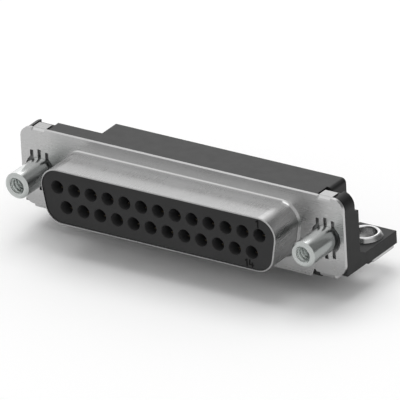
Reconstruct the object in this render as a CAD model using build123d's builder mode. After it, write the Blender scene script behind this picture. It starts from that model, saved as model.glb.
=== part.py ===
from build123d import *
import os
from math import radians, sqrt, tan

os.makedirs("parts", exist_ok=True)

# Right-angle D-sub receptacle for a circuit board, 13 contacts over 12 in a metal D hood.
# The origin lies on the board's top face, midway between the two board holes.
# +Z points up from the board and the hood faces -Y. Sizes are in millimetres.

# Contact grid and board layout
top_row_count = 13
pitch = 2.77
row_gap = 2.84
tail_setback = 8.08  # flange front to the nearer row of tails
axis_height = 6.05  # board to the middle of the D
fit_gap = 0.05  # all-round clearance of pieces that slide together

# Metal front shell
sheet = 0.50
hood_margin = 2.66  # hood's side beyond the outermost contact
hood_height = 8.26
hood_depth = 6.05
hood_corner = 2.75
hood_wall = 0.18
hood_root = 0.30  # bevel where the hood is drawn out of the flange
hood_lip = 0.08  # bevel of the hood's front edge
side_angle = 10.0  # slope of the D's sides from the vertical
screw_margin = 4.24  # screwlock's centre beyond the hood's side
flange_end = 3.00  # flange's end beyond the screwlock's centre
flange_height = 12.50
flange_top_corner = 1.65
flange_end_corner = 1.70
fold_radius = 0.15  # inside radius of the tabs' folds

# Spring fingers of the flange round each screwlock
flange_hole_radius = 2.38
slit_width = 0.55
slit_offset = 1.25
slit_reach = 3.10
finger_gap = 0.02

# Tabs of the shell
top_tab_width = 2.10
top_tab_depth = 2.05
relief_width = 1.35  # notch in the flange beside each bottom tab
relief_height = 1.15
neck_width = 2.44
strap_inset = 0.15  # strap's sides inside the foot's
strap_front = 2.60  # strap plate in front of the board hole's centre
strap_back = 3.10

# Moulded housing
plate_inset = 0.02  # plate's ends inside the flange's
plate_depth = 2.52
plate_drop = 0.02  # plate top below the flange top
plate_corner = 1.90
apron_depth = 0.90  # lip below the plate, in front of the board's edge
face_recess = 0.12  # insert's face behind the hood's front edge
tab_recess_width = 2.80
body_depth = 3.45
body_step = 5.67  # body's left end inside the left foot
body_gap = 0.57  # body's right end short of the screwlock's centre
body_round = 0.70
shoulder_drop = 2.20
relief_gap = 0.30  # room round each screwlock's clinched end
foot_inset = 3.00  # foot's inner side from the board hole's centre
foot_back = 3.40  # foot behind the board hole's centre
foot_thickness = 1.85
foot_round = 0.35
pad_front = 3.80  # pad under the foot, in front of the board hole's centre
pad_drop = 0.15
rib_width = 0.90
rib_height = 0.15
gusset_wall = 0.90
gusset_depth = 0.85
gusset_top = 3.50  # above the D's middle
gusset_slope = 0.20
gusset_toe = 1.25
gusset_toe_height = 0.70

# Contact cavities and contacts, which are forks blanked from strip
cavity_radius = 1.00
cavity_depth = 9.40
tip_recess = 1.50  # fork's tips behind the face
fork_height = 1.64
tip_height = 1.50
tip_mouth = 1.12
pinch_gap = 0.86
pinch_setback = 1.00
throat_gap = 1.04
fork_base = 2.60
strip_thickness = 0.64
tail_height = 0.50
tail_bevel = 0.35
tail_taper = 0.60
tail_length = 3.20  # below the board's top face

# Tail aligner
aligner_thickness = 1.20
aligner_margin = 1.40  # behind the rear row of tails
tongue_length = 0.45
tongue_width = 2.60

# Screwlocks
post_radius = 1.92
post_reach = 6.00  # in front of the flange
post_bevel = 0.32
thread_radius = 1.10
thread_chamfer = 0.20
clinch_radius = 2.20
clinch_depth = 0.55

# Eyelets
eyelet_bore_radius = 1.75
eyelet_wall = 0.30
eyelet_rim_radius = 2.75
eyelet_rim_height = 0.70
eyelet_rim_inner = 2.00
eyelet_rim_outer = 2.35

# Planes and levels that follow from the sizes
row_span = (top_row_count - 1) * pitch
hood_width = row_span + 2 * hood_margin
screw_x = hood_width / 2 + screw_margin
flange_width = 2 * (screw_x + flange_end)
plate_width = flange_width - 2 * plate_inset
flange_front = -(tail_setback + row_gap / 2)
flange_back = flange_front + sheet
hood_front = flange_front - hood_depth
flange_top = axis_height + flange_height / 2
flange_bottom = axis_height - flange_height / 2
fold_outer = fold_radius + sheet
plate_back = flange_back + plate_depth
plate_top = flange_top - plate_drop
plate_bottom = sheet + pad_drop
body_back = plate_back + body_depth
shoulder_top = plate_top - shoulder_drop
foot_top = sheet + foot_thickness
foot_inner = screw_x - foot_inset
foot_outer = plate_width / 2
body_left = foot_inner - body_step
body_right = screw_x - body_gap
strap_width = 2 * (foot_inset - strap_inset)
relief_radius = clinch_radius + relief_gap
cavity_end = hood_front + cavity_depth
eyelet_radius = eyelet_bore_radius + eyelet_wall

# Centres of the contacts as x, height and row of tails, numbered from the right
upper_z = axis_height + row_gap / 2
lower_z = axis_height - row_gap / 2
near_tails = flange_front + tail_setback
far_tails = near_tails + row_gap
upper_xs = [row_span / 2 - i * pitch for i in range(top_row_count)]
lower_xs = [(row_span - pitch) / 2 - i * pitch for i in range(top_row_count - 1)]
cavity_centres = [(x, upper_z) for x in upper_xs] + [(x, lower_z) for x in lower_xs]


def facing_front(y):
    """Plane across the connector at a depth y, looking out of the front."""
    return Plane.XZ.offset(-y)


def d_outline(inset):
    """D outline of the hood, moved in by an inset on every side."""
    lean = radians(side_angle)
    corner_reach = hood_corner / tan((radians(90) - lean) / 2)
    top_half = hood_width / 2 - hood_corner + corner_reach
    bottom_half = top_half - hood_height * tan(lean)
    half_height = hood_height / 2
    with BuildSketch() as outline:
        with BuildLine():
            Polyline(
                (-top_half, half_height),
                (top_half, half_height),
                (bottom_half, -half_height),
                (-bottom_half, -half_height),
                close=True,
            )
        make_face()
        fillet(outline.vertices(), hood_corner)
        if inset:
            offset(amount=-inset)
    return outline.sketch


def tab_profile(depth, edge, rise):
    """Side view of a sheet tab folded back from the flange at a level, up or down from it."""
    start = edge - rise * fold_outer
    bend = sqrt(0.5)
    with BuildSketch() as profile:
        with BuildLine():
            ThreePointArc(
                (flange_front, start),
                (flange_front + fold_outer * (1 - bend), start + rise * fold_outer * bend),
                (flange_front + fold_outer, edge),
            )
            Polyline(
                (flange_front + fold_outer, edge),
                (depth, edge),
                (depth, edge - rise * sheet),
                (flange_front + fold_outer, edge - rise * sheet),
            )
            ThreePointArc(
                (flange_front + fold_outer, edge - rise * sheet),
                (
                    flange_front + fold_outer - fold_radius * bend,
                    start + rise * fold_radius * bend,
                ),
                (flange_back, start),
            )
            Line((flange_back, start), (flange_front, start))
        make_face()
    return profile.sketch


# Front shell, one stamping: flange with a drawn hood, spring fingers and folded tabs
with BuildPart() as front_shell:
    # Flange with the notches beside the folds, one half mirrored
    with BuildSketch(facing_front(flange_back)) as flange:
        side_x = flange_width / 2
        notch_x = screw_x - neck_width / 2
        tab_left = screw_x - top_tab_width / 2
        tab_right = screw_x + top_tab_width / 2
        with BuildLine():
            Polyline(
                (0, flange_bottom),
                (notch_x - relief_width, flange_bottom),
                (notch_x - 0.70 * relief_width, flange_bottom + relief_height),
                (notch_x - 0.55 * relief_width, flange_bottom + relief_height),
                (notch_x - 0.40 * relief_width, fold_outer),
                (side_x, fold_outer),
                (side_x, flange_top),
                (tab_right, flange_top),
                (tab_right, flange_top - fold_outer),
                (tab_left, flange_top - fold_outer),
                (tab_left, flange_top),
                (0, flange_top),
                close=True,
            )
        make_face()
        mirror(about=Plane.YZ)
        for level, corner in ((flange_top, flange_top_corner), (fold_outer, flange_end_corner)):
            ends = flange.vertices().filter_by(lambda v: abs(v.X) > side_x - 0.01)
            fillet(ends.filter_by(lambda v: abs(v.Y - level) < 0.01), corner)
    extrude(amount=sheet)

    # Drawn hood with a bevelled root and lip
    with BuildSketch(facing_front(flange_front)):
        with Locations((0, axis_height)):
            add(d_outline(0))
    extrude(amount=hood_depth)
    level_edges = front_shell.edges().filter_by_position(Axis.Y, flange_front - 0.01, flange_front + 0.01)
    root_edges = level_edges.filter_by(
        lambda e: abs(e.center().X) < hood_width / 2
        and abs(e.center().Z - axis_height) < hood_height / 2 + 0.01
    )
    chamfer(root_edges, hood_root)
    chamfer(front_shell.edges().group_by(Axis.Y)[0], hood_lip)
    with BuildSketch(facing_front(hood_front)):
        with Locations((0, axis_height)):
            add(d_outline(hood_wall))
    extrude(amount=-(hood_depth + sheet), mode=Mode.SUBTRACT)

    # Hole for each screwlock, with slits that leave two spring fingers above and two below
    with BuildSketch(facing_front(flange_back)):
        finger_width = slit_offset - slit_width
        with Locations((-screw_x, axis_height), (screw_x, axis_height)):
            Circle(flange_hole_radius)
            for side in (-1, 1):
                with Locations((side * slit_offset / 2, 0)):
                    Rectangle(finger_width, 2 * slit_reach, mode=Mode.SUBTRACT)
            for step in (-1, 0, 1):
                reach = sqrt(slit_reach**2 - (step * slit_offset) ** 2)
                with Locations((step * slit_offset, 0)):
                    Rectangle(slit_width, 2 * reach)
            Circle(post_radius + finger_gap)
    extrude(amount=sheet, mode=Mode.SUBTRACT)

    # Folded tabs: short ones over the housing, long ones that run under the feet
    for side in (-1, 1):
        with BuildSketch(Plane.YZ.offset(side * screw_x)):
            add(tab_profile(flange_front + top_tab_depth, flange_top, 1))
        extrude(amount=top_tab_width / 2, both=True)
        with BuildSketch(Plane.YZ.offset(side * screw_x)):
            add(tab_profile(-strap_front, 0, -1))
        extrude(amount=neck_width / 2, both=True)
    with BuildSketch(Plane.XY):
        with Locations(*[(side * screw_x, (strap_back - strap_front) / 2) for side in (-1, 1)]):
            strap = RectangleRounded(strap_width, strap_front + strap_back, 0.5)
        with Locations((-screw_x, 0), (screw_x, 0)):
            Circle(eyelet_radius + fit_gap, mode=Mode.SUBTRACT)
    extrude(amount=sheet)
front_shell.part.label = "front_shell"
export_step(front_shell.part, "parts/front_shell.step")


# Housing, one moulding: D insert, plate behind the flange, rear body and two feet
with BuildPart() as housing:
    # Plate with rounded upper corners
    with BuildSketch(facing_front(plate_back)) as plate:
        with Locations((0, (plate_top + plate_bottom) / 2)):
            Rectangle(plate_width, plate_top - plate_bottom)
        fillet(plate.vertices().group_by(Axis.Y)[-1], plate_corner)
    extrude(amount=plate_depth)
    with BuildSketch(facing_front(flange_back + apron_depth)):
        with Locations((0, (plate_bottom + flange_bottom) / 2)):
            Rectangle(2 * (notch_x - fit_gap), plate_bottom - flange_bottom)
    extrude(amount=apron_depth)

    # Rear body with its upper right edge rounded
    with BuildSketch(facing_front(body_back)):
        with Locations(((body_right - body_left) / 2, (plate_top + plate_bottom) / 2)):
            Rectangle(body_right + body_left, plate_top - plate_bottom)
    extrude(amount=body_depth)
    end_edges = housing.edges().filter_by(Axis.Y).filter_by(lambda e: e.center().Y > plate_back)
    fillet(end_edges.group_by(Axis.Z)[-1].sort_by(Axis.X)[-1:], body_round)

    # Lower shoulder over the contacts beside the body
    with BuildSketch(facing_front(body_back)):
        with Locations((-(foot_inner + body_left) / 2, (shoulder_top + plate_bottom) / 2)):
            Rectangle(foot_inner - body_left, shoulder_top - plate_bottom)
    extrude(amount=body_depth)

    # Room below each screwlock's clinched end, over the foot
    with BuildSketch(facing_front(body_back)):
        with Locations(*[(side * screw_x, (axis_height + foot_top) / 2) for side in (-1, 1)]):
            Rectangle(2 * relief_radius, axis_height - foot_top)
    extrude(amount=body_depth, mode=Mode.SUBTRACT)

    # Feet that carry the eyelets, each on a pad that stands on the shell's strap
    foot_centre = (foot_inner + foot_outer) / 2
    foot_width = foot_outer - foot_inner
    with BuildSketch(Plane.XY.offset(plate_bottom)):
        with Locations(*[(side * foot_centre, (foot_back + plate_back) / 2) for side in (-1, 1)]):
            Rectangle(foot_width, foot_back - plate_back)
    extrude(amount=foot_top - plate_bottom)
    with BuildSketch(Plane.XY.offset(sheet)):
        with Locations(*[(side * foot_centre, (foot_back - pad_front) / 2) for side in (-1, 1)]):
            Rectangle(foot_width, foot_back + pad_front)
    extrude(amount=pad_drop)
    fillet(housing.faces().sort_by(Axis.Y)[-1].edges().group_by(Axis.Z)[-1], foot_round)

    # Ribs in front of each strap, on both sides of its neck
    rib_inner = neck_width / 2 + fit_gap
    with BuildSketch(Plane.XY.offset(sheet - rib_height)):
        for side in (-1, 1):
            for start, end in ((foot_inner, screw_x - rib_inner), (screw_x + rib_inner, foot_outer)):
                with Locations((side * (start + end) / 2, rib_width / 2 - pad_front)):
                    Rectangle(end - start, rib_width)
    extrude(amount=rib_height)

    # Gusset along the outer side of each foot
    for side in (-1, 1):
        with BuildSketch(Plane.YZ.offset(side * foot_outer)):
            with BuildLine():
                Polyline(
                    (plate_back, foot_top),
                    (plate_back + gusset_depth + gusset_toe, foot_top),
                    (plate_back + gusset_depth, foot_top + gusset_toe_height),
                    (plate_back + gusset_depth, axis_height + gusset_top - gusset_slope),
                    (plate_back, axis_height + gusset_top),
                    close=True,
                )
            make_face()
        extrude(amount=-side * gusset_wall)

    # Room round each screwlock's clinched end
    with BuildSketch(facing_front(body_back)):
        with Locations((-screw_x, axis_height), (screw_x, axis_height)):
            Circle(relief_radius)
    extrude(amount=body_depth, mode=Mode.SUBTRACT)

    # Insert that fills the hood
    with BuildSketch(facing_front(flange_back)):
        with Locations((0, axis_height)):
            add(d_outline(hood_wall + fit_gap))
    extrude(amount=sheet + hood_depth - face_recess)

    # Recesses in the plate's top under the shell's short tabs, open to the rear
    with BuildSketch(facing_front(plate_back)):
        for side in (-1, 1):
            with Locations((side * screw_x, flange_top - sheet / 2)):
                Rectangle(tab_recess_width, sheet)
    extrude(amount=plate_depth, mode=Mode.SUBTRACT)
    with BuildSketch(facing_front(flange_back + fold_radius)):
        with Locations(*[(side * screw_x, flange_top - fold_outer / 2) for side in (-1, 1)]):
            Rectangle(tab_recess_width, fold_outer)
    extrude(amount=fold_radius, mode=Mode.SUBTRACT)

    # Holes for the screwlocks and the eyelets
    with BuildSketch(facing_front(plate_back)):
        with Locations((-screw_x, axis_height), (screw_x, axis_height)):
            Circle(post_radius + fit_gap)
    extrude(amount=plate_depth, mode=Mode.SUBTRACT)
    with BuildSketch(Plane.XY.offset(sheet)):
        with Locations((-screw_x, 0), (screw_x, 0)):
            Circle(eyelet_radius + fit_gap)
    extrude(amount=foot_thickness, mode=Mode.SUBTRACT)

    # Slots in the feet for the aligner's tongues
    slot_width = tongue_width + 2 * fit_gap
    slot_depth = tongue_length + fit_gap
    with BuildSketch(Plane.XY.offset(sheet)):
        for side in (-1, 1):
            with Locations((side * (foot_inner + slot_depth / 2), 0)):
                Rectangle(slot_depth, slot_width)
    extrude(amount=aligner_thickness + fit_gap, mode=Mode.SUBTRACT)

    # Contact cavities from the front, and a slot for each tail from the rear
    with BuildSketch(facing_front(hood_front)):
        with Locations(*cavity_centres):
            Circle(cavity_radius)
    extrude(amount=-cavity_depth, mode=Mode.SUBTRACT)
    with BuildSketch(facing_front(cavity_end)):
        with Locations(*cavity_centres):
            Rectangle(strip_thickness + 2 * fit_gap, tail_height + 2 * fit_gap)
    extrude(amount=-(body_back - cavity_end), mode=Mode.SUBTRACT)
housing.part.label = "housing"
export_step(housing.part, "parts/housing.step")


# Tail aligner: plate between the feet, one hole for each tail
with BuildPart() as tail_aligner:
    aligner_back = far_tails + aligner_margin
    with BuildSketch(Plane.XY.offset(sheet)):
        with Locations((0, (body_back + aligner_back) / 2)):
            Rectangle(2 * (foot_inner - fit_gap), aligner_back - body_back)
        Rectangle(2 * (foot_inner + tongue_length), tongue_width)
        with Locations(*[(x, far_tails) for x in upper_xs], *[(x, near_tails) for x in lower_xs]):
            Rectangle(strip_thickness + 2 * fit_gap, tail_height + 2 * fit_gap, mode=Mode.SUBTRACT)
    extrude(amount=aligner_thickness)
tail_aligner.part.label = "tail_aligner"
export_step(tail_aligner.part, "parts/tail_aligner.step")


# Contacts: fork at the back of its cavity, tail bent down through the board
def contact_part(height, tail_y):
    """Contact at x = 0 for one row, by the row's height and the depth of its tail."""
    half_tail = tail_height / 2
    tip = hood_front + tip_recess
    beam = [
        (tip + pinch_setback, pinch_gap / 2),
        (tip, tip_mouth / 2),
        (tip, tip_height / 2),
        (cavity_end, fork_height / 2),
    ]
    tail_end = [
        (half_tail, tail_taper - tail_length),
        (half_tail / 2, -tail_length),
        (-half_tail / 2, -tail_length),
        (-half_tail, tail_taper - tail_length),
    ]
    throat = cavity_end - fork_base
    with BuildPart() as pattern:
        with BuildSketch(Plane.YZ):
            with BuildLine():
                Polyline(
                    (throat, height + throat_gap / 2),
                    *[(y, height + z) for y, z in beam],
                    (cavity_end, height + half_tail),
                    (tail_y + half_tail - tail_bevel, height + half_tail),
                    (tail_y + half_tail, height + half_tail - tail_bevel),
                    *[(tail_y + y, z) for y, z in tail_end],
                    (tail_y - half_tail, height - half_tail),
                    (cavity_end, height - half_tail),
                    *[(y, height - z) for y, z in reversed(beam)],
                    (throat, height - throat_gap / 2),
                    close=True,
                )
            make_face()
        extrude(amount=strip_thickness / 2, both=True)
    return pattern.part


upper_contact = contact_part(upper_z, far_tails)
lower_contact = contact_part(lower_z, near_tails)
placings = [(upper_contact, x) for x in upper_xs] + [(lower_contact, x) for x in lower_xs]
for number, (pattern, x) in enumerate(placings, start=1):
    name = f"contact_{number:02d}"
    with BuildPart() as contact:
        with Locations((x, 0, 0)):
            add(pattern)
    contact.part.label = name
    export_step(contact.part, f"parts/{name}.step")


# Screwlocks: round posts, threaded inside and clinched over the back of the plate
for name, side in (("screwlock_left", -1), ("screwlock_right", 1)):
    centre = (side * screw_x, 0, axis_height)
    post_front = flange_front - post_reach
    post_back = plate_back + clinch_depth
    with BuildPart() as screwlock:
        with BuildSketch(Plane(origin=centre, x_dir=(1, 0, 0), z_dir=(0, 0, 1))):
            with BuildLine():
                Polyline(
                    (thread_radius + thread_chamfer, post_front),
                    (post_radius - post_bevel, post_front),
                    (post_radius, post_front + post_bevel),
                    (post_radius, plate_back),
                    (clinch_radius, plate_back),
                    (clinch_radius, post_back),
                    (thread_radius, post_back),
                    (thread_radius, post_front + thread_chamfer),
                    close=True,
                )
            make_face()
        revolve(axis=Axis(centre, (0, 1, 0)))
    screwlock.part.label = name
    export_step(screwlock.part, f"parts/{name}.step")


# Eyelets: rolled over the top of each foot, through the strap down to the board
for name, side in (("eyelet_left", -1), ("eyelet_right", 1)):
    centre = (side * screw_x, 0, 0)
    rim_top = foot_top + eyelet_rim_height
    with BuildPart() as eyelet:
        with BuildSketch(Plane(origin=centre, x_dir=(1, 0, 0), z_dir=(0, -1, 0))):
            with BuildLine():
                Polyline(
                    (eyelet_bore_radius, 0),
                    (eyelet_bore_radius, foot_top - eyelet_wall),
                    (eyelet_rim_inner, rim_top),
                    (eyelet_rim_outer, rim_top),
                    (eyelet_rim_radius, foot_top + eyelet_rim_height / 4),
                    (eyelet_rim_radius, foot_top),
                    (eyelet_radius, foot_top),
                    (eyelet_radius, 0),
                    close=True,
                )
            make_face()
        revolve(axis=Axis(centre, (0, 0, 1)))
    eyelet.part.label = name
    export_step(eyelet.part, f"parts/{name}.step")
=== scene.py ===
import bpy
import math
from mathutils import Matrix, Vector


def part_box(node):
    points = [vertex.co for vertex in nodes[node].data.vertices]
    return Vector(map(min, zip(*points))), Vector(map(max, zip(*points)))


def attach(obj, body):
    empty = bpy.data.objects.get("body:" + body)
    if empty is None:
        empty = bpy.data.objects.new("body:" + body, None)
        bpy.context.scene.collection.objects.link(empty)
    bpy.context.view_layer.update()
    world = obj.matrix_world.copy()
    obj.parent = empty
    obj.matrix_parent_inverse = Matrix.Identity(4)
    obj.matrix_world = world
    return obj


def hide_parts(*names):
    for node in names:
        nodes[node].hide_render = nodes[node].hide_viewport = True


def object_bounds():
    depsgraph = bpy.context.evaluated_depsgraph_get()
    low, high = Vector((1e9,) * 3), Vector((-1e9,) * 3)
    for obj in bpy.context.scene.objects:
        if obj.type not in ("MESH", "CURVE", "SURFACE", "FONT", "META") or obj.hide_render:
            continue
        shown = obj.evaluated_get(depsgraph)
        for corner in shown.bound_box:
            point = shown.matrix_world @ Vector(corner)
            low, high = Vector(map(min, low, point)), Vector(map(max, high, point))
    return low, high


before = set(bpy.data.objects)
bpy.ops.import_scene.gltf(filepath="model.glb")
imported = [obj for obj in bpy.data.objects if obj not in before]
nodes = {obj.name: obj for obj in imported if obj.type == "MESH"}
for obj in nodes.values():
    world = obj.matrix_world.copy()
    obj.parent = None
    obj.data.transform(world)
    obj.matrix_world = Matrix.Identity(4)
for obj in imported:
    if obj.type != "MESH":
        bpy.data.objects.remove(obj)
cad_low, cad_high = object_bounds()
scene = bpy.context.scene
scene.view_settings.view_transform = "Standard"


# Camera
# A long lens from far off, because the photograph shows next to no perspective.
# It looks at the connector's front from the right and from above.
camera_right = Vector((0.833856, 0.549703, -0.050114))
camera_up = Vector((-0.199405, 0.384647, 0.901268))
camera_back = Vector((0.514706, -0.741535, 0.430353))
camera_place = Vector((1.179496, -1.704469, 0.991002))
camera_data = bpy.data.cameras.new("camera")
camera_data.lens = 1500
camera_data.sensor_width = 36
camera_data.clip_start = 0.1
camera_data.clip_end = 10
camera = bpy.data.objects.new("camera", camera_data)
scene.collection.objects.link(camera)
camera_turn = Matrix((camera_right, camera_up, camera_back)).transposed().to_4x4()
camera.matrix_world = Matrix.Translation(camera_place) @ camera_turn
scene.camera = camera


# Studio
# A pale floor under an even white sky, a broad soft lamp overhead that gives light
# and shadow, and a small one high behind that only the metal mirrors.
def add_node(tree, kind, **values):
    """New node in a tree, with its properties set, and its inputs where a name is one."""
    made = tree.nodes.new(kind)
    for name, value in values.items():
        if hasattr(made, name):
            setattr(made, name, value)
        else:
            made.inputs[name.replace("_", " ")].default_value = value
    return made


def new_material(name):
    """New material with its tree and its Principled shader."""
    made = bpy.data.materials.new(name)
    made.use_nodes = True
    return made, made.node_tree, made.node_tree.nodes["Principled BSDF"]


def ranged(tree, source, low, high, start=0.0, end=1.0, curve="LINEAR"):
    """The source's value between start and end, spread between low and high."""
    spread = add_node(tree, "ShaderNodeMapRange", interpolation_type=curve)
    for name, value in (("From Min", start), ("From Max", end), ("To Min", low), ("To Max", high)):
        spread.inputs[name].default_value = value
    tree.links.new(source, spread.inputs["Value"])
    return spread.outputs["Result"]


def mask(tree, source, zero_at, one_at):
    """0 where the source passes one value, 1 where it passes the other."""
    return ranged(tree, source, 0.0, 1.0, zero_at, one_at)


def combined(tree, operation, first, second=0.0):
    """Two values put together by a math operation; a value may be a plain number."""
    made = add_node(tree, "ShaderNodeMath", operation=operation)
    for socket, value in zip(made.inputs, (first, second)):
        if isinstance(value, (int, float)):
            socket.default_value = value
        else:
            tree.links.new(value, socket)
    return made.outputs[0]


def multiplied(tree, first, *others):
    """Product of two or more values."""
    for other in others:
        first = combined(tree, "MULTIPLY", first, other)
    return first


def grey(level):
    """Neutral colour of a stated level."""
    return (level, level, level)


def blended(tree, factor, first, second):
    """Colour between two colours by a factor; a colour may be a socket."""
    made = add_node(tree, "ShaderNodeMix", data_type="RGBA")
    tree.links.new(factor, made.inputs["Factor"])
    for name, value in (("A", first), ("B", second)):
        socket = [s for s in made.inputs if s.name == name and s.type == "RGBA"][0]
        if isinstance(value, tuple):
            socket.default_value = value + (1,)
        else:
            tree.links.new(value, socket)
    return [s for s in made.outputs if s.type == "RGBA"][0]


def split(tree, vector, axes):
    """The named axes of a vector, as in "XZ"."""
    parts = add_node(tree, "ShaderNodeSeparateXYZ")
    tree.links.new(vector, parts.inputs[0])
    return [parts.outputs[axis] for axis in axes]


sky = bpy.data.worlds.new("sky")
scene.world = sky
sky.use_nodes = True
tree = sky.node_tree
light_path = add_node(tree, "ShaderNodeLightPath").outputs
seen = combined(tree, "MAXIMUM", light_path["Is Camera Ray"], light_path["Is Glossy Ray"])
seen_or_through = combined(tree, "MAXIMUM", seen, light_path["Is Transmission Ray"])
# The room's back right is unlit, which shows only in reflections
way_x, way_y = split(tree, add_node(tree, "ShaderNodeTexCoord").outputs["Generated"], "XY")
to_right = ranged(tree, way_x, 0.0, 1.0, -0.12, 0.24, "SMOOTHSTEP")
to_back = ranged(tree, way_y, 0.0, 1.0, 0.0, 0.45, "SMOOTHSTEP")
unlit = multiplied(tree, to_right, to_back, light_path["Is Glossy Ray"])
lit = tree.nodes["Background"]
lit.inputs["Color"].default_value = (1, 1, 1, 1)
lit.inputs["Strength"].default_value = 0.61
backdrop = add_node(tree, "ShaderNodeBackground", Strength=1.0)
tree.links.new(blended(tree, unlit, grey(1), grey(0.26)), backdrop.inputs["Color"])
choice = add_node(tree, "ShaderNodeMixShader")
tree.links.new(seen_or_through, choice.inputs[0])
tree.links.new(lit.outputs[0], choice.inputs[1])
tree.links.new(backdrop.outputs[0], choice.inputs[2])
tree.links.new(choice.outputs[0], tree.nodes["World Output"].inputs["Surface"])

floor_half, floor_z = 3.0, cad_low.z - 0.00002
floor_corners = [(x * floor_half, y * floor_half, floor_z)
                 for x, y in ((-1, -1), (1, -1), (1, 1), (-1, 1))]
floor_mesh = bpy.data.meshes.new("floor")
floor_mesh.from_pydata(floor_corners, [], [(0, 1, 2, 3)])
floor = bpy.data.objects.new("floor", floor_mesh)
scene.collection.objects.link(floor)
floor_paint, tree, shader = new_material("floor_paint")
shader.inputs["Base Color"].default_value = (1, 1, 1, 1)
shader.inputs["Roughness"].default_value = 0.9
shader.inputs["Specular IOR Level"].default_value = 0.0
floor_mesh.materials.append(floor_paint)

lamp_distance = 1.2
for lamp_name, lamp_size, lamp_power, lamp_way, shines in (
        ("broad_lamp", 1.2, 7.4, (-0.20, 0.10, 0.97), False),
        ("highlight_lamp", 0.46, 0.46, (-0.33, 0.742, 0.58), True)):
    lamp_data = bpy.data.lights.new(lamp_name, "AREA")
    lamp_data.shape = "DISK"
    lamp_data.size = lamp_size
    lamp_data.energy = lamp_power
    lamp = bpy.data.objects.new(lamp_name, lamp_data)
    lamp_way = Vector(lamp_way).normalized()
    lamp.location = lamp_way * lamp_distance
    lamp.rotation_euler = lamp_way.to_track_quat("Z", "Y").to_euler()
    lamp.visible_camera = False
    lamp.visible_glossy = shines
    lamp.visible_diffuse = not shines
    scene.collection.objects.link(lamp)


# Front shell
# One stamping of tin-plated steel: a flange with a deep-drawn hood, slit spring
# fingers round the screwlocks, and tabs folded over and under the housing.
def new_group(name, takes, gives):
    """Node group with named inputs as (name, default) and named outputs as (name, kind)."""
    made = bpy.data.node_groups.new(name, "ShaderNodeTree")
    for label, default in takes:
        kind = "NodeSocketVector" if isinstance(default, tuple) else "NodeSocketFloat"
        socket = made.interface.new_socket(label, in_out="INPUT", socket_type=kind)
        socket.default_value = default
    for label, kind in gives:
        made.interface.new_socket(label, in_out="OUTPUT", socket_type="NodeSocket" + kind)
    return made, add_node(made, "NodeGroupInput"), add_node(made, "NodeGroupOutput")


def add_group(tree, group, **values):
    """A group placed in a material's tree with its own values."""
    return add_node(tree, "ShaderNodeGroup", node_tree=group, **values)


def vectors(tree, operation, first, second):
    """Two vectors put together by a vector math operation."""
    made = add_node(tree, "ShaderNodeVectorMath", operation=operation)
    tree.links.new(first, made.inputs[0])
    tree.links.new(second, made.inputs[1])
    return made


# Noise of a stated feature size, drawn out along an axis by the stretch
grain, entry, out = new_group(
    "grain", [("Feature Size", 0.001), ("Stretch", (1.0, 1.0, 1.0)), ("Offset", (0.0, 0.0, 0.0))],
    [("Value", "Float")])
place = add_node(grain, "ShaderNodeTexCoord")
pulled = vectors(grain, "DIVIDE", place.outputs["Object"], entry.outputs["Stretch"])
moved = vectors(grain, "ADD", pulled.outputs[0], entry.outputs["Offset"])
noise = add_node(grain, "ShaderNodeTexNoise", Detail=4.0, Roughness=0.55)
grain.links.new(moved.outputs[0], noise.inputs["Vector"])
grain.links.new(combined(grain, "DIVIDE", 1.0, entry.outputs["Feature Size"]), noise.inputs["Scale"])
grain.links.new(noise.outputs["Fac"], out.inputs["Value"])

# Softened edges: the rounded normal, and a mask that is 1 on edges and 0 on flats
edges, entry, out = new_group(
    "edges", [("Radius", 0.0001)], [("Mask", "Float"), ("Normal", "Vector")])
rounded = add_node(edges, "ShaderNodeBevel", samples=6)
true_normal = add_node(edges, "ShaderNodeNewGeometry")
match = vectors(edges, "DOT_PRODUCT", rounded.outputs[0], true_normal.outputs["Normal"])
edges.links.new(entry.outputs["Radius"], rounded.inputs["Radius"])
edges.links.new(mask(edges, match.outputs["Value"], 1.0, 0.9), out.inputs["Mask"])
edges.links.new(rounded.outputs[0], out.inputs["Normal"])

# Hairline scratches: thin bands of a stretched noise, broken up by a second one
scratches, entry, out = new_group(
    "scratches", [("Length", 0.004), ("Width", 0.00006), ("Amount", 0.5), ("Turn", (0.0, 0.0, 0.0))],
    [("Mask", "Float")])
place = add_node(scratches, "ShaderNodeTexCoord")
turned = add_node(scratches, "ShaderNodeVectorRotate", rotation_type="EULER_XYZ")
scratches.links.new(place.outputs["Object"], turned.inputs["Vector"])
scratches.links.new(entry.outputs["Turn"], turned.inputs["Rotation"])
shape = add_node(scratches, "ShaderNodeCombineXYZ")
for axis, name in (("X", "Length"), ("Y", "Width"), ("Z", "Width")):
    scratches.links.new(entry.outputs[name], shape.inputs[axis])
pulled = vectors(scratches, "DIVIDE", turned.outputs[0], shape.outputs[0])
line = add_node(scratches, "ShaderNodeTexNoise", Scale=1.0, Detail=1.0, Roughness=0.4)
scratches.links.new(pulled.outputs[0], line.inputs["Vector"])
off_middle = combined(scratches, "ABSOLUTE", combined(scratches, "SUBTRACT", line.outputs["Fac"], 0.5))
patch = add_node(scratches, "ShaderNodeTexNoise", Scale=700.0, Detail=2.0)
scratches.links.new(place.outputs["Object"], patch.inputs["Vector"])
dosed = multiplied(scratches, mask(scratches, off_middle, 0.02, 0.0),
                   mask(scratches, patch.outputs["Fac"], 0.5, 0.62), entry.outputs["Amount"])
scratches.links.new(dosed, out.inputs["Mask"])


def position(tree, axes):
    """Where the shaded point is, along the named axes of the part's frame, in metres."""
    return split(tree, add_node(tree, "ShaderNodeTexCoord").outputs["Object"], axes)


def facing(tree, axes):
    """How far the shaded face looks along the named axes."""
    return split(tree, add_node(tree, "ShaderNodeNewGeometry").outputs["Normal"], axes)


def clouded(tree, source, low, high):
    """A noise's middle range, spread between low and high."""
    return ranged(tree, source, low, high, 0.3, 0.7)


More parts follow.
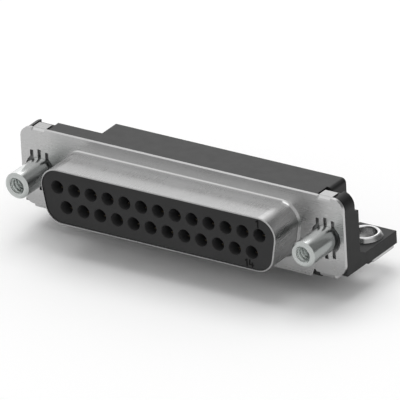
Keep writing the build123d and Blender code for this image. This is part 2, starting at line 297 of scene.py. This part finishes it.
def relief(tree, height, normal, depth):
    """Bump of a stated depth in metres on a normal."""
    made = add_node(tree, "ShaderNodeBump", Strength=1.0, Distance=depth)
    tree.links.new(height, made.inputs["Height"])
    if normal is not None:
        tree.links.new(normal, made.inputs["Normal"])
    return made.outputs["Normal"]


def dress(made, names):
    """Puts a material on CAD nodes in place of their plain one."""
    for name in names:
        nodes[name].data.materials.clear()
        nodes[name].data.materials.append(made)


shell_tin, tree, shader = new_material("shell_tin")
shader.inputs["Metallic"].default_value = 1.0
soft_edge = add_group(tree, edges, Radius=0.00003)
clouds = add_group(tree, grain, Feature_Size=0.006)
spangle = add_group(tree, grain, Feature_Size=0.0005, Offset=(3.1, 1.7, 0.4))
rolling = add_group(tree, grain, Feature_Size=0.00009, Stretch=(60.0, 1.0, 1.0))
drawing = add_group(tree, grain, Feature_Size=0.00009, Stretch=(1.0, 40.0, 1.0))
hairlines = add_group(tree, scratches, Length=0.006, Width=0.00005, Amount=0.8, Turn=(0.0, 0.5, 0.0))
crossing = add_group(tree, scratches, Length=0.004, Width=0.00004, Amount=0.6, Turn=(0.3, -1.1, 0.4))
at_x, at_y, at_z = position(tree, "XYZ")
face_x, face_y, face_z = facing(tree, "XYZ")
across = combined(tree, "ABSOLUTE", at_x)
sideways = combined(tree, "ABSOLUTE", face_x)
slant = combined(tree, "ABSOLUTE", face_y)
flange_y = -0.0095  # front face of the flange
wall_y = -0.0098  # where the hood's wall leaves the bevel at its root
lip_y = -0.01555  # front of the hood
on_hood = mask(tree, at_y, flange_y - 0.0001, flange_y - 0.0009)
off_hood = ranged(tree, on_hood, 1.0, 0.0)
lines = combined(tree, "ADD", multiplied(tree, drawing.outputs["Value"], on_hood),
                 multiplied(tree, rolling.outputs["Value"], off_hood))
marks = combined(tree, "MAXIMUM", hairlines.outputs["Mask"], crossing.outputs["Mask"])
tin = blended(tree, clouded(tree, clouds.outputs["Value"], 0.0, 1.0),
              (0.432, 0.431, 0.429), (0.466, 0.466, 0.467))
tin = blended(tree, ranged(tree, spangle.outputs["Value"], 0.0, 0.25, 0.35, 0.75), tin, grey(0.57))
tin = blended(tree, multiplied(tree, marks, 0.35), tin, grey(0.60))
tin = blended(tree, multiplied(tree, soft_edge.outputs["Mask"], 0.15), tin, grey(0.60))
# Painted highlight: the hood's top near its root is made paler in colour
root_painted_highlight = multiplied(tree, mask(tree, at_y, wall_y - 0.0027, wall_y - 0.0014),
                       mask(tree, at_y, wall_y + 0.0001, wall_y - 0.00005))
facing_up = mask(tree, face_z, 0.80, 0.97)
tin = blended(tree, multiplied(tree, root_painted_highlight, facing_up), tin, grey(0.78))
# Painted highlight and painted shade on the bevel at the hood's root: a bright line along its top next to
# the flange, duller below and round the corners, and one more painted bright line where the hood's own
# wall starts
on_bevel = multiplied(tree, mask(tree, slant, 0.3, 0.5), mask(tree, slant, 0.9, 0.8),
                      mask(tree, at_y, wall_y - 0.0004, wall_y - 0.0003))
bevel_highlight_line = mask(tree, at_y, wall_y + 0.00012, wall_y + 0.00018)
tin = blended(tree, multiplied(tree, on_bevel, mask(tree, face_z, 0.1, 0.4)), tin,
              blended(tree, bevel_highlight_line, grey(0.34), grey(0.62)))
tin = blended(tree, multiplied(tree, on_bevel, mask(tree, sideways, 0.12, 0.35)), tin, grey(0.33))
wall_highlight_line = multiplied(tree, facing_up, mask(tree, at_y, wall_y - 0.0003, wall_y - 0.0002),
                       mask(tree, at_y, wall_y + 0.0001, wall_y + 0.00005))
tin = blended(tree, wall_highlight_line, tin, grey(0.92))
# Painted shade: the flange's face is darker round the hood and at its low ends
round_hood = multiplied(tree, mask(tree, across, 0.0220, 0.0200), 0.4)
low_end = multiplied(tree, mask(tree, at_z, 0.0040, 0.0020), 0.55)
flange_painted_shade = multiplied(tree, mask(tree, slant, 0.93, 0.98), off_hood,
                  combined(tree, "MAXIMUM", round_hood, low_end))
tin = blended(tree, flange_painted_shade, tin, grey(0.30))
# Painted highlight: a white spot at the right corner of the root
corner_painted_highlight = multiplied(tree, mask(tree, at_x, 0.0167, 0.0170), mask(tree, at_x, 0.0180, 0.0177),
                  mask(tree, face_z, 0.4, 0.6), mask(tree, at_y, wall_y - 0.00065, wall_y - 0.00035),
                  mask(tree, at_y, wall_y + 0.0002, wall_y + 0.0001))
tin = blended(tree, corner_painted_highlight, tin, grey(1.0))
# Painted shade: the hood's sides are darker than its top. The cut edge of its lip is duller too
hood_side_painted_shade = multiplied(tree, on_hood, ranged(tree, sideways, 0.0, 0.9, 0.55, 0.95))
tin = blended(tree, hood_side_painted_shade, tin, grey(0.39))
tin = blended(tree, mask(tree, at_y, lip_y + 0.00006, lip_y + 0.00002), tin, grey(0.35))
tree.links.new(tin, shader.inputs["Base Color"])
dull = combined(tree, "ADD", clouded(tree, lines, 0.24, 0.34),
                clouded(tree, clouds.outputs["Value"], -0.02, 0.04))
dull = combined(tree, "SUBTRACT", dull, multiplied(tree, marks, 0.06))
tree.links.new(dull, shader.inputs["Roughness"])
height = combined(tree, "ADD", multiplied(tree, lines, 0.6), multiplied(tree, marks, -0.5))
height = combined(tree, "ADD", height, multiplied(tree, spangle.outputs["Value"], 0.4))
tree.links.new(relief(tree, height, soft_edge.outputs["Normal"], 0.0000012), shader.inputs["Normal"])
dress(shell_tin, ["front_shell"])


# Housing
# One moulding of black glass-filled plastic: the D insert with its contact
# cavities, the plate behind the flange, the rear body and the two feet.
insert_y = -0.01543  # front face of the insert
plate_y = -0.0090  # front face of the plate


def moulded_black(name, dark, light, grain_depth, shine, gloss_level=0.18, cored=False):
    """Moulded plastic with a spark-eroded grain, flow marks and scuffed edges; when cored, also painted
    light and shade on the housing.
    """
    made, tree, shader = new_material(name)
    soft_edge = add_group(tree, edges, Radius=0.00010)
    pits = add_group(tree, grain, Feature_Size=0.00007)
    swirl = add_group(tree, grain, Feature_Size=0.004, Stretch=(3.0, 1.0, 1.0))
    smear = add_group(tree, grain, Feature_Size=0.0015, Offset=(5.0, 2.0, 1.0))
    scuffs = add_group(tree, scratches, Length=0.003, Width=0.00005, Amount=0.7, Turn=(0.2, 0.9, 1.3))
    # Paler tones: wear on the grain, edges and scuffs, and painted light on the cavity walls below
    wear_and_light_tones = [tuple(share * c for c in light) for share in (1.5, 1.7, 1.9)]
    colour = blended(tree, mask(tree, swirl.outputs["Value"], 0.35, 0.7), dark, light)
    colour = blended(tree, ranged(tree, pits.outputs["Value"], 0.0, 0.4, 0.5, 0.85), colour, wear_and_light_tones[0])
    rubbed = multiplied(tree, soft_edge.outputs["Mask"],
                        ranged(tree, smear.outputs["Value"], 0.0, 0.5, 0.4, 0.7))
    colour = blended(tree, rubbed, colour, wear_and_light_tones[1])
    colour = blended(tree, multiplied(tree, scuffs.outputs["Mask"], 0.4), colour, wear_and_light_tones[2])
    if cored:
        at_x, at_y, at_z = position(tree, "XYZ")
        face_x, face_z = facing(tree, "XZ")
        # Walls of the contact cavities, painted paler as light inside them
        painted_cavity_light = multiplied(tree, mask(tree, at_y, insert_y + 0.00003, insert_y + 0.00008),
                            mask(tree, at_y, plate_y - 0.0002, plate_y - 0.0008))
        colour = blended(tree, painted_cavity_light, colour, wear_and_light_tones[2])
        # Painted light on the plate's face behind the slit fingers, seen through the slits
        painted_light_behind_fingers = multiplied(tree, mask(tree, combined(tree, "ABSOLUTE", at_x), 0.0194, 0.0198),
                                 mask(tree, at_z, 0.0024, 0.0028), mask(tree, at_z, 0.0102, 0.0098),
                                 mask(tree, at_y, plate_y + 0.00006, plate_y + 0.00002))
        colour = blended(tree, painted_light_behind_fingers, colour, grey(0.24))
        # Painted light on the top face, and painted shade on the outer ends
        top_painted_light = multiplied(tree, mask(tree, face_z, 0.90, 0.97), mask(tree, at_z, 0.0105, 0.0110))
        colour = blended(tree, top_painted_light, colour, grey(0.048))
        end_painted_shade = mask(tree, multiplied(tree, face_x, at_x), 0.0140, 0.0200)
        colour = blended(tree, end_painted_shade, colour, grey(0.009))
    tree.links.new(colour, shader.inputs["Base Color"])
    shader.inputs["Specular IOR Level"].default_value = gloss_level
    gloss = combined(tree, "ADD", clouded(tree, smear.outputs["Value"], shine - 0.03, shine + 0.05),
                     clouded(tree, pits.outputs["Value"], -0.04, 0.04))
    gloss = combined(tree, "SUBTRACT", gloss, multiplied(tree, scuffs.outputs["Mask"], 0.08))
    tree.links.new(gloss, shader.inputs["Roughness"])
    height = combined(tree, "ADD", pits.outputs["Value"], multiplied(tree, scuffs.outputs["Mask"], -0.6))
    tree.links.new(relief(tree, height, soft_edge.outputs["Normal"], grain_depth), shader.inputs["Normal"])
    return made


housing_black = moulded_black("housing_black", grey(0.021), (0.028, 0.028, 0.0285),
                              0.0000035, 0.40, cored=True)
dress(housing_black, ["housing"])


# Numbers
# The numbers of the two outer contacts, 1 and 14, moulded a little proud of the
# insert's face, in a black darker than the housing's plastic that is painted shade.
number_front_y, number_back_y = insert_y - 0.00003, insert_y + 0.00002


def finish_mesh(name, points, faces, made, smooth=True):
    """New piece from points and faces, smooth but for edges that turn 35 degrees or more."""
    mesh = bpy.data.meshes.new(name)
    mesh.from_pydata([tuple(p) for p in points], [], faces)
    mesh.validate()
    mesh.materials.append(made)
    piece = bpy.data.objects.new(name, mesh)
    scene.collection.objects.link(piece)
    if smooth:
        mesh.shade_smooth()
        mesh.set_sharp_from_angle(angle=math.radians(35))
    return piece


def raised_number(name, strokes, left, bottom, height, made):
    """Piece of closed outlines, in parts of the number's height, given a thickness."""
    points, faces = [], []
    for outline in strokes:
        first, count = len(points), len(outline)
        for y in (number_front_y, number_back_y):
            points += [(left + height * x, y, bottom + height * z) for x, z in outline]
        front = list(range(first, first + count))
        back = list(range(first + count, first + 2 * count))
        faces.append(tuple(front))
        faces.append(tuple(reversed(back)))
        for k in range(count):
            n = (k + 1) % count
            faces.append((front[n], front[k], back[k], back[n]))
    piece = finish_mesh(name, points, faces, made, smooth=False)
    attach(piece, "root")


one = [(0.17, 0.0), (0.35, 0.0), (0.35, 1.0), (0.22, 1.0), (0.0, 0.82), (0.0, 0.64), (0.17, 0.77)]
four = [(0.0, 0.25), (0.42, 0.25), (0.42, 0.0), (0.59, 0.0), (0.59, 0.25), (0.70, 0.25), (0.70, 0.41),
        (0.59, 0.41), (0.59, 0.66), (0.42, 0.66), (0.42, 0.41), (0.17, 0.41), (0.27, 1.0), (0.09, 1.0),
        (0.0, 0.42)]
four_shift = 0.52  # how far the 4 stands to the right of its 1
# The numbers' deeper black is painted shade
number_painted_shade = moulded_black("number_painted_shade", grey(0.006), grey(0.009), 0.0000015, 0.55, gloss_level=0.04)
raised_number("number_1", [one], 0.01613, 0.00853, 0.00122, number_painted_shade)
shifted_four = [(x + four_shift, z) for x, z in four]
raised_number("number_14", [one, shifted_four], 0.01405, 0.00232, 0.00115, number_painted_shade)


# Tail aligner
# A separate moulded bar that holds the tails of the contacts at the board's
# pitch. It is the same plastic from another tool, a little smoother.
aligner_black = moulded_black("aligner_black", grey(0.019), (0.026, 0.026, 0.0265), 0.0000025, 0.36)
dress(aligner_black, ["tail_aligner"])


# Contacts
# Forks blanked from copper-alloy strip. The mating ends are gold flashed over
# nickel, painted far darker as shade, and the tails are tinned for soldering.
contact_plate, tree, shader = new_material("contact_plate")
shader.inputs["Metallic"].default_value = 1.0
soft_edge = add_group(tree, edges, Radius=0.00004)
clouds = add_group(tree, grain, Feature_Size=0.0012)
sheared = add_group(tree, grain, Feature_Size=0.00004, Stretch=(1.0, 30.0, 1.0))
at_y = position(tree, "Y")[0]
wander = multiplied(tree, ranged(tree, clouds.outputs["Value"], -1.0, 1.0), 0.0006)
tinned = mask(tree, combined(tree, "ADD", at_y, wander), -0.0064, -0.0060)
# Gold painted dark, as shade inside the cavities
gold_in_painted_shade = blended(tree, clouds.outputs["Value"], (0.10, 0.082, 0.052), (0.16, 0.128, 0.075))
solder = blended(tree, clouds.outputs["Value"], (0.50, 0.50, 0.49), (0.62, 0.62, 0.61))
plate = blended(tree, tinned, gold_in_painted_shade, solder)
plate = blended(tree, multiplied(tree, soft_edge.outputs["Mask"], 0.4), plate, (0.72, 0.70, 0.66))
tree.links.new(plate, shader.inputs["Base Color"])
dull = combined(tree, "ADD", clouded(tree, sheared.outputs["Value"], 0.34, 0.50),
                ranged(tree, tinned, 0.0, 0.06))
tree.links.new(dull, shader.inputs["Roughness"])
bumps = relief(tree, sheared.outputs["Value"], soft_edge.outputs["Normal"], 0.0000015)
tree.links.new(bumps, shader.inputs["Normal"])
dress(contact_plate, [name for name in nodes if name.startswith("contact_")])


# Screwlocks
# Round posts turned from steel bar and zinc plated, each clinched through the
# flange and the plate. The mating plug's jackscrew goes into the 4-40 thread.
screw_x, post_axis_z = 0.02352, 0.00605
post_low, post_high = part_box("screwlock_right")
post_front_y, post_back_y = post_low.y, post_high.y


def distance(tree, first, second):
    """Distance from an axis, given the two offsets across it."""
    square = combined(tree, "ADD", multiplied(tree, first, first), multiplied(tree, second, second))
    return combined(tree, "SQRT", square)


def turned_zinc(name, bright):
    """Zinc plate over lathe marks that run round the post's own axis, with painted highlight, shade and
    bore light.
    """
    made, tree, shader = new_material(name)
    shader.inputs["Metallic"].default_value = 1.0
    soft_edge = add_group(tree, edges, Radius=0.00008)
    clouds = add_group(tree, grain, Feature_Size=0.0018)
    crystals = add_group(tree, grain, Feature_Size=0.00012, Offset=(1.0, 4.0, 2.0))
    at_x, at_y, at_z = position(tree, "XYZ")
    radius = distance(tree, combined(tree, "SUBTRACT", combined(tree, "ABSOLUTE", at_x), screw_x),
                      combined(tree, "SUBTRACT", at_z, post_axis_z))
    ring_place = add_node(tree, "ShaderNodeCombineXYZ")
    tree.links.new(radius, ring_place.inputs["X"])
    tree.links.new(at_y, ring_place.inputs["Y"])
    lathe = add_node(tree, "ShaderNodeTexNoise", Scale=16000.0, Detail=3.0, Roughness=0.6)
    tree.links.new(ring_place.outputs[0], lathe.inputs["Vector"])
    darker = tuple(c * 0.94 for c in bright)
    brighter = tuple(min(1.0, c * 1.2) for c in bright)
    zinc = blended(tree, clouded(tree, clouds.outputs["Value"], 0.0, 1.0), darker, bright)
    zinc = blended(tree, ranged(tree, crystals.outputs["Value"], 0.0, 0.35, 0.45, 0.8), zinc, brighter)
    zinc = blended(tree, multiplied(tree, soft_edge.outputs["Mask"], 0.5), zinc, (0.60, 0.62, 0.61))
    # Painted highlight along the top of each post's outside, and painted shade on the flank of the right
    # post
    face_x, face_z = facing(tree, "XZ")
    outside = mask(tree, radius, 0.0017, 0.0018)
    post_top_painted_highlight = multiplied(tree, outside, mask(tree, face_z, 0.82, 0.96))
    zinc = blended(tree, post_top_painted_highlight, zinc, (0.86, 0.88, 0.87))
    flank_painted_shade = multiplied(tree, outside, mask(tree, face_x, 0.80, 0.97), mask(tree, at_x, 0.0, 0.01))
    zinc = blended(tree, flank_painted_shade, zinc, (0.31, 0.325, 0.32))
    # Painted light: the tapped bore is paler than the outside
    painted_bore_light = mask(tree, radius, 0.00114, 0.00111)
    zinc = blended(tree, multiplied(tree, painted_bore_light, 0.8), zinc, (0.74, 0.77, 0.755))
    tree.links.new(zinc, shader.inputs["Base Color"])
    dull = combined(tree, "ADD", clouded(tree, lathe.outputs["Fac"], 0.17, 0.25),
                    clouded(tree, crystals.outputs["Value"], -0.02, 0.04))
    tree.links.new(dull, shader.inputs["Roughness"])
    height = combined(tree, "ADD", lathe.outputs["Fac"], multiplied(tree, crystals.outputs["Value"], 0.5))
    tree.links.new(relief(tree, height, soft_edge.outputs["Normal"], 0.0000015), shader.inputs["Normal"])
    return made


post_zinc = turned_zinc("post_zinc", (0.46, 0.48, 0.47))
dress(post_zinc, ["screwlock_left", "screwlock_right"])


# Threads
# Internal 4-40 threads, which the CAD leaves out: each is a closed sleeve that
# lines its post's bore, with the thread's crests on its inner wall.
thread_pitch = 0.000635
thread_outer, thread_crest = 0.001098, 0.00096
thread_start, thread_end = post_front_y + 0.0004, post_back_y - 0.0002
thread_steps, thread_columns = 180, 64
thread_fade = 12  # the crests rise over the first twelfth of the length and sink over the last
crest_height, flank_slope = 1.25, 2.5  # a crest a fifth of a pitch wide, flanks down to the root
sleeve_outer = thread_outer * 1.0008
thinnest = 0.00001  # least wall of the sleeve between its ends
# A paler copy of the posts' zinc, as painted light on the threads in the shaded bore
thread_zinc_painted_light = turned_zinc("thread_zinc_painted_light", (0.60, 0.62, 0.61))


def ring_faces(rows, columns):
    """Faces of a grid that closes round its columns and round its rows."""
    faces = []
    for r in range(rows):
        for c in range(columns):
            a, b = r * columns + c, r * columns + (c + 1) % columns
            e = (r + 1) % rows * columns
            faces.append((a, b, e + (c + 1) % columns, e + c))
    return faces


def ring(side, reach, y, angle):
    """Point on a circle round a post's axis."""
    return (side * screw_x + reach * math.cos(angle), y, post_axis_z + reach * math.sin(angle))


for side_name, side in (("left", -1), ("right", 1)):
    points = []
    for row in range(thread_steps + 1):
        along = row / thread_steps
        y = thread_start + (thread_end - thread_start) * along
        lead_in = min(1.0, along * thread_fade, (1 - along) * thread_fade)
        for column in range(thread_columns):
            turn = column / thread_columns
            phase = ((y - thread_start) / thread_pitch + turn) % 1.0
            ridge = max(0.0, min(1.0, crest_height - flank_slope * abs(phase - 0.5)))
            reach = thread_outer - (thread_outer - thread_crest) * ridge * lead_in
            if 0 < row < thread_steps:
                reach = min(reach, thread_outer - thinnest)
            points.append(ring(side, reach, y, 2 * math.pi * turn))
    for y in (thread_end, thread_start):
        points += [ring(side, sleeve_outer, y, 2 * math.pi * column / thread_columns)
                   for column in range(thread_columns)]
    sleeve = finish_mesh(f"thread_{side_name}", points,
                         ring_faces(thread_steps + 3, thread_columns), thread_zinc_painted_light)
    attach(sleeve, "root")


# Eyelets
# Drawn brass tubes, nickel plated, with the upper end rolled out over the foot.
# They replace the plainer CAD eyelets with a smooth rolled rim.
def arc_points(centre, reach, start, end, steps):
    """Points on an arc in the profile plane, angles in degrees."""
    found = []
    for k in range(steps + 1):
        a = math.radians(start + (end - start) * k / steps)
        found.append((centre[0] + reach * math.cos(a), centre[1] + reach * math.sin(a)))
    return found


eyelet_low, eyelet_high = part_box("eyelet_right")
foot_top_z = 0.00235
bore, tube_outer, foot_reach, lip, toe = 0.00175, 0.00205, 0.00261, 0.00025, 0.00007
crest_z, slope = eyelet_high.z, 36.5
break_edge = 0.00005  # bevel at the tube's lower end
profile = [(bore, eyelet_low.z + break_edge), (bore, crest_z - 2 * lip)]
profile += arc_points((bore + lip, crest_z - lip), lip, 180, slope, 14)
profile += arc_points((foot_reach - toe, foot_top_z + toe), toe, slope, -80, 6)
profile += [(tube_outer, foot_top_z), (tube_outer, eyelet_low.z + break_edge)]
profile += [(tube_outer - break_edge, eyelet_low.z), (bore + break_edge, eyelet_low.z)]
eyelet_bright, tree, shader = new_material("eyelet_bright")
shader.inputs["Metallic"].default_value = 1.0
clouds = add_group(tree, grain, Feature_Size=0.0011)
crimp = add_group(tree, grain, Feature_Size=0.00015, Offset=(0.0, 2.0, 7.0))
hairlines = add_group(tree, scratches, Length=0.0018, Width=0.00004, Amount=0.7, Turn=(0.4, 0.2, 0.8))
nickel = blended(tree, clouds.outputs["Value"], grey(0.76), (0.84, 0.84, 0.85))
nickel = blended(tree, multiplied(tree, hairlines.outputs["Mask"], 0.5), nickel, grey(0.9))
# Painted light and shade: the tube's inner wall is paler on its left and darker on its right, and the
# rim's cone is darker, so only the rolled crest is bright
at_x, at_y = position(tree, "XY")
off_x = combined(tree, "SUBTRACT", combined(tree, "ABSOLUTE", at_x), screw_x)
radius = distance(tree, off_x, at_y)
bore_painted_light_and_shade = blended(tree, mask(tree, off_x, -bore, bore), grey(0.66), grey(0.15))
nickel = blended(tree, mask(tree, radius, bore + 0.00005, bore + 0.00001), nickel, bore_painted_light_and_shade)
nickel = blended(tree, mask(tree, radius, 0.00214, 0.00230), nickel, grey(0.30))
tree.links.new(nickel, shader.inputs["Base Color"])
tree.links.new(clouded(tree, crimp.outputs["Value"], 0.20, 0.28), shader.inputs["Roughness"])
height = combined(tree, "ADD", crimp.outputs["Value"], multiplied(tree, hairlines.outputs["Mask"], -0.6))
tree.links.new(relief(tree, height, None, 0.0000015), shader.inputs["Normal"])
eyelet_columns = 96
for side_name, side in (("left", -1), ("right", 1)):
    points = []
    for reach, z in profile:
        for column in range(eyelet_columns):
            angle = -2 * math.pi * column / eyelet_columns
            points.append((side * screw_x + reach * math.cos(angle), reach * math.sin(angle), z))
    rim = finish_mesh(f"rolled_eyelet_{side_name}", points,
                      ring_faces(len(profile), eyelet_columns), eyelet_bright)
    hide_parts(f"eyelet_{side_name}")
    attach(rim, "root")
